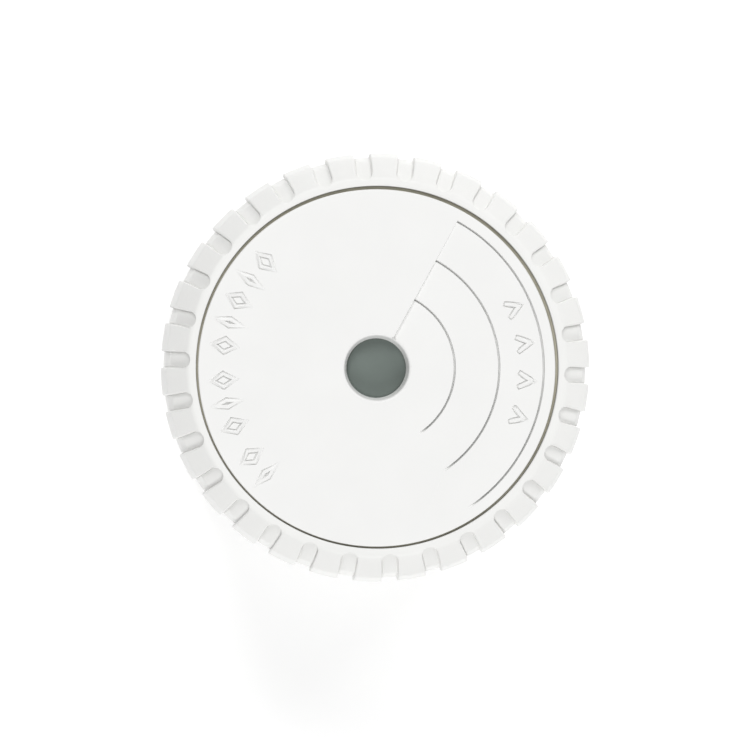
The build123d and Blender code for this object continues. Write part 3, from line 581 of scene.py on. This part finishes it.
def sink(x, y):
    """How far the disc's face lies below its highest level."""
    radius, angle = math.hypot(x, y), math.degrees(math.atan2(y, x))
    if not RAMP_START < angle < RAMP_END + 0.01:
        return 0.0
    share = (angle - RAMP_START) / (RAMP_END - RAMP_START)
    levels = sum(clamp((edge + STEP_WALL / 2 - radius) / STEP_WALL) for edge in BAND_RADII)
    nearest = min(abs(edge - radius) for edge in BAND_RADII)
    groove = STEP_GROOVE * (1 - GROOVE_FADE * share) * clamp(1.6 * (GROOVE_HALF - nearest) / GROOVE_HALF)
    groove *= clamp((angle - RAMP_START) / GROOVE_RUN_IN)
    from_wall = radius * math.sin(math.radians(RAMP_END - angle)) if RAMP_END - angle < 90 else radius
    return (STEP * levels * share + groove) * clamp(from_wall / STEP_WALL)


def offset_outline(points, distance, closed):
    """A line's outline at a distance, with mitred corners. A closed line gives its outer side, or its
    inner side for a negative distance, and an open one goes all the way round."""
    track = [Vector(point) for point in points]
    if not closed:
        track = track + track[-2:0:-1]
    count = len(track)
    result = []
    for index in range(count):
        before, here, after = track[index - 1], track[index], track[(index + 1) % count]
        arrive, leave = (here - before).normalized(), (after - here).normalized()
        out_a, out_b = Vector((arrive.y, -arrive.x)), Vector((leave.y, -leave.x))
        if arrive.dot(leave) < -0.99:
            result.append(here + (arrive + out_a) * distance)
            result.append(here + (arrive + out_b) * distance)
            continue
        middle = (out_a + out_b).normalized()
        result.append(here + middle * (distance / max(0.3, middle.dot(out_a))))
    return [tuple(point) for point in result]


def distance_to(points, closed, x, y):
    """The shortest distance from a point to a line."""
    track = loop(points) if closed else points
    here = Vector((x, y))
    best = 1e9
    for a, b in zip(track, track[1:]):
        a, b = Vector(a), Vector(b)
        along = clamp((here - a).dot(b - a) / (b - a).length_squared)
        best = min(best, (here - a - (b - a) * along).length)
    return best


LOZENGE_GROUPS = (5, 3, 2)
LOZENGE_START, LOZENGE_PITCH, GROUP_GAP = 136.4, 8.8, 4.2     # in degrees
LOZENGE_HALF_WIDTHS = (0.85, 0.42)      # by turns wide and slim
CHEVRON_ANGLES = (-19.0, -4.8, 9.4, 23.6)
CHEVRON_FOOT_R, CHEVRON_TIP_R, CHEVRON_HALF_WIDTH = 18.1, 19.6, 0.85


def mark_lines():
    """Every raised mark on the disc as (centre line, closed, half the line's width)."""
    marks = []
    middle = (MARK_OUT_R + MARK_IN_R) / 2
    angle = LOZENGE_START
    for count in LOZENGE_GROUPS:
        for index in range(count):
            half = LOZENGE_HALF_WIDTHS[index % 2]
            corners = [(MARK_IN_R, 0), (middle, -half), (MARK_OUT_R, 0), (middle, half)]
            marks.append((turned_outline(corners, angle), True, 0.22))
            angle += LOZENGE_PITCH
        angle += GROUP_GAP
    half = CHEVRON_HALF_WIDTH
    for angle in CHEVRON_ANGLES:
        line = [(CHEVRON_FOOT_R, -half), (CHEVRON_TIP_R, 0), (CHEVRON_FOOT_R, half)]
        marks.append((turned_outline(line, angle), False, 0.25))
    return marks


MARKS = mark_lines()
# Height over the disc's face by the distance inside a mark's edge, with a fine groove round it
MARK_GROOVE = 0.15
MARK_PROFILE = [
    (-0.16, 0.0), (-0.12, -MARK_GROOVE), (-0.06, -MARK_GROOVE), (-0.01, 0.0), (0.04, 0.13),
    (0.1, MARK_H),
]


def raised(x, y):
    """How far a mark stands up here."""
    if not MARK_IN_R - 1 < math.hypot(x, y) < MARK_OUT_R + 1:
        return 0.0
    near = [mark for mark in MARKS if math.dist(mark[0][0], (x, y)) < 5]
    inside = [half_width - distance_to(points, closed, x, y) for points, closed, half_width in near]
    return ramp_between(max(inside, default=-1.0), MARK_PROFILE)


def disc_face(shell, hole_r, rim_r):
    """The disc's face between its hole and its rim, with the terraces and the marks."""
    def arc(radius, start, end, step):
        """Points along an arc, about a step apart."""
        count = max(1, round((end - start) / step))
        return [polar(radius, start + (end - start) * i / count) for i in range(count + 1)]

    lines = [arc(rim_r, 0, 360, 1), arc(hole_r, 0, 360, 3)]
    lines += [arc(rim_r - FLAT_EDGE, 0, 360, 1), arc(hole_r + FLAT_EDGE, 0, 360, 3)]
    offsets = [share * GROOVE_HALF for share in (-1, -0.7, -0.375, 0.375, 0.7, 1)]
    wall_radii = [edge + offset for edge in BAND_RADII for offset in offsets]
    lines += [arc(radius, RAMP_START, RAMP_END, 0.5) for radius in wall_radii]
    top_r = wall_radii[-1]
    inner_r = hole_r + 0.01
    for step in range(1, 40):
        angle = RAMP_START + (RAMP_END - RAMP_START) * step / 40
        lines.append([polar(inner_r, angle), polar(top_r, angle)])
    lines.append([polar(inner_r, RAMP_START), polar(top_r, RAMP_START)])
    edge = Vector(polar(1, RAMP_END))
    aside = Vector((edge.y, -edge.x)) * STEP_WALL
    lines.append([tuple(edge * inner_r), tuple(edge * top_r)])
    lines.append([tuple(edge * inner_r + aside), tuple(edge * top_r + aside)])
    for points, closed, half_width in MARKS:
        for inside, _ in MARK_PROFILE:
            lines.append(loop(offset_outline(points, half_width - inside, closed)))
            if closed:
                lines.append(loop(offset_outline(points, inside - half_width, closed)))
    flat, faces = triangulate(lines, lambda x, y: hole_r - 0.01 < math.hypot(x, y) < rim_r)
    shell.add([(x, y, DISC_TOP - sink(x, y) + raised(x, y)) for x, y in flat], faces)


def front_disc():
    """The press-to-test disc, with its hooks and its switch post, and the lip in its slot."""
    shell = Shell()
    rim_r, hole_r = DISC_R - RIM_ROUND, HOLE_R + HOLE_ROUND
    disc_face(shell, hole_r, rim_r)
    low = DISC_TOP - DISC_WALL
    skirt = [(rim_r, DISC_TOP)]
    for step in range(1, 6):
        turn = math.radians(90 * step / 5)
        skirt.append((rim_r + RIM_ROUND * math.sin(turn), DISC_TOP - RIM_ROUND * (1 - math.cos(turn))))
    flange_r, seat_z = LENS_HIGH.x + 0.1, LENS_HIGH.z - 0.05
    skirt += [(DISC_R, low - RIM_DROP), (DISC_R - RIM_WALL, low - RIM_DROP), (DISC_R - RIM_WALL, low),
              (HUB_R, low), (HUB_R, low - HUB_DROP), (flange_r, low - HUB_DROP), (flange_r, seat_z),
              (HUB_IN_R, seat_z)]
    shell.lathe(skirt, closed=False)
    throat = []
    for step in range(120):
        angle = step * 3
        x, y = polar(hole_r, angle)
        top = DISC_TOP - sink(x, y)
        stack = []
        for part in range(7):
            turn = math.radians(15 * part)
            inwards, down = math.sin(turn), 1 - math.cos(turn)
            stack.append((hole_r - HOLE_ROUND * inwards, top - HOLE_ROUND * down))
        stack.append((HUB_IN_R, seat_z))
        throat.append([(*polar(radius, angle), z) for radius, z in stack])
    count = len(throat[0])
    faces = []
    for step in range(120):
        here, there = step * count, (step + 1) % 120 * count
        faces += [(here + i, there + i, there + i + 1, here + i + 1) for i in range(count - 1)]
    shell.add([point for column in throat for point in column], faces)
    foot = LEDGE_Z - 1.4
    stem = box_outline(HOOK_IN_R, HOOK_STEM_R, -HOOK_HALF, HOOK_HALF)
    barb = box_outline(HOOK_IN_R, HOOK_TIP_R, -HOOK_HALF, HOOK_HALF)
    for angle in HOOK_ANGLES:
        shell.prism(turned_outline(stem, angle), foot, low + 0.1)
        shell.prism(turned_outline(barb, angle), foot, LEDGE_Z - 0.05, 0.3)
    shell.prism(circle(POST_R, POST_X, 0), DISC_LOW.z + POST_CLEARANCE, low + 0.1)
    aside = polar(DISC_LEAN, LEAN_ANGLE)
    shell.points = [(x + aside[0], y + aside[1], z) for x, y, z in shell.points]
    # The lip is a dark ring under the slot round the disc, which paints the shade in that gap
    lip = Shell()
    lip_in_r, lip_r = DISC_R - 0.3, BORE_R - 0.05
    lip_low, lip_z = low - 0.5, DISC_TOP - LIP_DROP
    lip.lathe([(lip_in_r, lip_low), (lip_r, lip_low), (lip_r, lip_z), (lip_in_r, lip_z)])
    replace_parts(shell.piece("test_disc_face", "disc_plastic", "test_disc", sharp=25), "front_disc")
    lip.piece("disc_slot_lip", "disc_plastic", "test_disc", finish="slot_shade_plastic")


# ---------------------------------------------------------------- lens, springs and rear mouldings
def indicator_lens():
    """A smoked window with a rounded rim, and a flange under the disc's hub."""
    flange_r, low, high = LENS_HIGH.x, LENS_LOW.z, LENS_HIGH.z
    window_r = HUB_IN_R - 0.05
    rise, ease = 0.1, 0.42              # the rim's height and width
    outline = [(0, low), (flange_r, low), (flange_r, high - rise), (window_r, high - rise)]
    for step in range(7):
        turn = math.radians(90 * step / 6)
        outline.append((window_r - ease * (1 - math.cos(turn)), high - rise * (1 - math.sin(turn))))
    outline.append((0, high - 0.02))
    shell = Shell()
    shell.lathe(outline, segments=120, closed=False)
    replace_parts(shell.piece("smoked_window", "smoked_lens", "test_disc"), "indicator_lens")


SPRING_ANGLES, SPRING_CENTRE_R = (30, 150, 270), 20.1


def return_springs():
    """Three wire coils with closed ends, for the disc to press on."""
    low, high = (corner.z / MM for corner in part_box("return_springs"))
    wire_r, coil_r, turns, sides = 0.16, 1.04, 5, 10
    rise = high - low - 2 * wire_r
    steps = turns * 24
    shell = Shell()
    for angle in SPRING_ANGLES:
        centre_x, centre_y = polar(SPRING_CENTRE_R, angle)
        points = []
        for step in range(steps + 1):
            turn = 360 * turns * step / steps
            lift = ramp_between(step / steps, [(0, 0), (0.16, 0.05), (0.84, 0.95), (1, 1)])
            out = Vector((*polar(1, turn), 0))
            for side in range(sides):
                across, up = polar(wire_r, side * 360 / sides)
                x, y, _ = out * (coil_r + across)
                points.append((centre_x + x, centre_y + y, low + wire_r + rise * lift + up))
        faces = []
        for step in range(steps):
            for side in range(sides):
                after = (side + 1) % sides
                here, there = step * sides, (step + 1) * sides
                faces.append((here + side, here + after, there + after, there + side))
        faces.append(tuple(reversed(range(sides))))
        faces.append(tuple(range(steps * sides, (steps + 1) * sides)))
        shell.add(points, faces)
    coils = shell.piece("return_coils", "spring_steel", "alarm")
    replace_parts(coils, "return_springs")
    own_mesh(coils)


def soften_edges(node, width):
    """Rounds a CAD moulding's edges a little."""
    made = frame["nodes"][node]
    weld = made.modifiers.new("weld", "WELD")
    weld.merge_threshold = 0.002 * MM
    bevel = made.modifiers.new("eased_edges", "BEVEL")
    bevel.width = width * MM
    bevel.segments = 2
    bevel.limit_method = "ANGLE"
    bevel.angle_limit = math.radians(35)
    bevel.harden_normals = False
    even = made.modifiers.new("even_normals", "WEIGHTED_NORMAL")
    even.keep_sharp = True


finish_cad_nodes()
front_cover()
front_disc()
indicator_lens()
return_springs()
for moulding in ("rear_cover", "battery_door"):
    soften_edges(moulding, 0.12)


# ---------------------------------------------------------------- floor, light and camera
def stage_floor():
    """A plain pale floor under the alarm."""
    made = bpy.data.materials.new("pale_floor")
    made.use_nodes = True
    shader = made.node_tree.nodes["Principled BSDF"]
    shader.inputs["Base Color"].default_value = (0.9, 0.9, 0.9, 1)
    shader.inputs["Roughness"].default_value = 0.9
    shader.inputs["Specular IOR Level"].default_value = 0.1
    shader.inputs["Emission Color"].default_value = (1, 1, 1, 1)
    shader.inputs["Emission Strength"].default_value = 0.24
    mesh = bpy.data.meshes.new("floor")
    reach = 2.0                         # in metres
    corners = [(x, y, 0) for x, y in box_outline(-reach, reach, -reach, reach)]
    mesh.from_pydata(corners, [], [(0, 1, 2, 3)])
    mesh.materials.append(made)
    floor = bpy.data.objects.new("floor", mesh)
    bpy.context.scene.collection.objects.link(floor)


def area_light(name, azimuth, elevation, distance, size, power):
    """A square soft light that looks at the object, with its distance and size in metres and its
    power in watts."""
    data = bpy.data.lights.new(name, "AREA")
    data.size = size
    data.energy = power
    light = bpy.data.objects.new(name, data)
    a, e = math.radians(azimuth), math.radians(elevation)
    out = Vector((math.cos(a) * math.cos(e), math.sin(a) * math.cos(e), math.sin(e)))
    light.location = out * distance
    light.rotation_mode = "QUATERNION"
    light.rotation_quaternion = (-light.location).to_track_quat("-Z", "Y")
    bpy.context.scene.collection.objects.link(light)


def lights():
    """An even white surround and three soft lights."""
    world = bpy.data.worlds.new("studio")
    world.use_nodes = True
    background = world.node_tree.nodes["Background"]
    background.inputs["Color"].default_value = (1, 1, 1, 1)
    background.inputs["Strength"].default_value = 0.45
    bpy.context.scene.world = world
    area_light("key", 100, 55, 1.2, 0.45, 5.4)
    area_light("side", 52, 34, 1.2, 0.45, 3.3)
    area_light("fill", 272, 36, 1.2, 0.45, 6.2)


CAMERA_DISTANCE, VIEW_WIDTH = 2.4, 0.0943     # in metres
CAMERA_AZIMUTH, CAMERA_ELEVATION = 190, 87.9
AIM_X, AIM_Y = -0.289, -0.981                 # the point of the front face it looks at
SENSOR = 36


def camera():
    """Looks almost straight down on the front face, tipped a little towards the left."""
    data = bpy.data.cameras.new("camera")
    data.sensor_width = SENSOR
    data.lens = SENSOR * CAMERA_DISTANCE / VIEW_WIDTH
    data.clip_start, data.clip_end = 0.05, 10
    made = bpy.data.objects.new("camera", data)
    bpy.context.scene.collection.objects.link(made)
    target = Vector((AIM_X, AIM_Y, TOP)) * MM
    azimuth, elevation = math.radians(CAMERA_AZIMUTH), math.radians(CAMERA_ELEVATION)
    back = Vector((math.cos(azimuth) * math.cos(elevation), math.sin(azimuth) * math.cos(elevation),
                   math.sin(elevation)))
    made.location = target + back * CAMERA_DISTANCE
    right = Vector((0, 1, 0)).cross(back).normalized()
    up = back.cross(right)
    made.rotation_mode = "QUATERNION"
    made.rotation_quaternion = Matrix((right, up, back)).transposed().to_quaternion()
    bpy.context.scene.camera = made


stage_floor()
lights()
camera()
bpy.context.scene.view_settings.view_transform = "Standard"
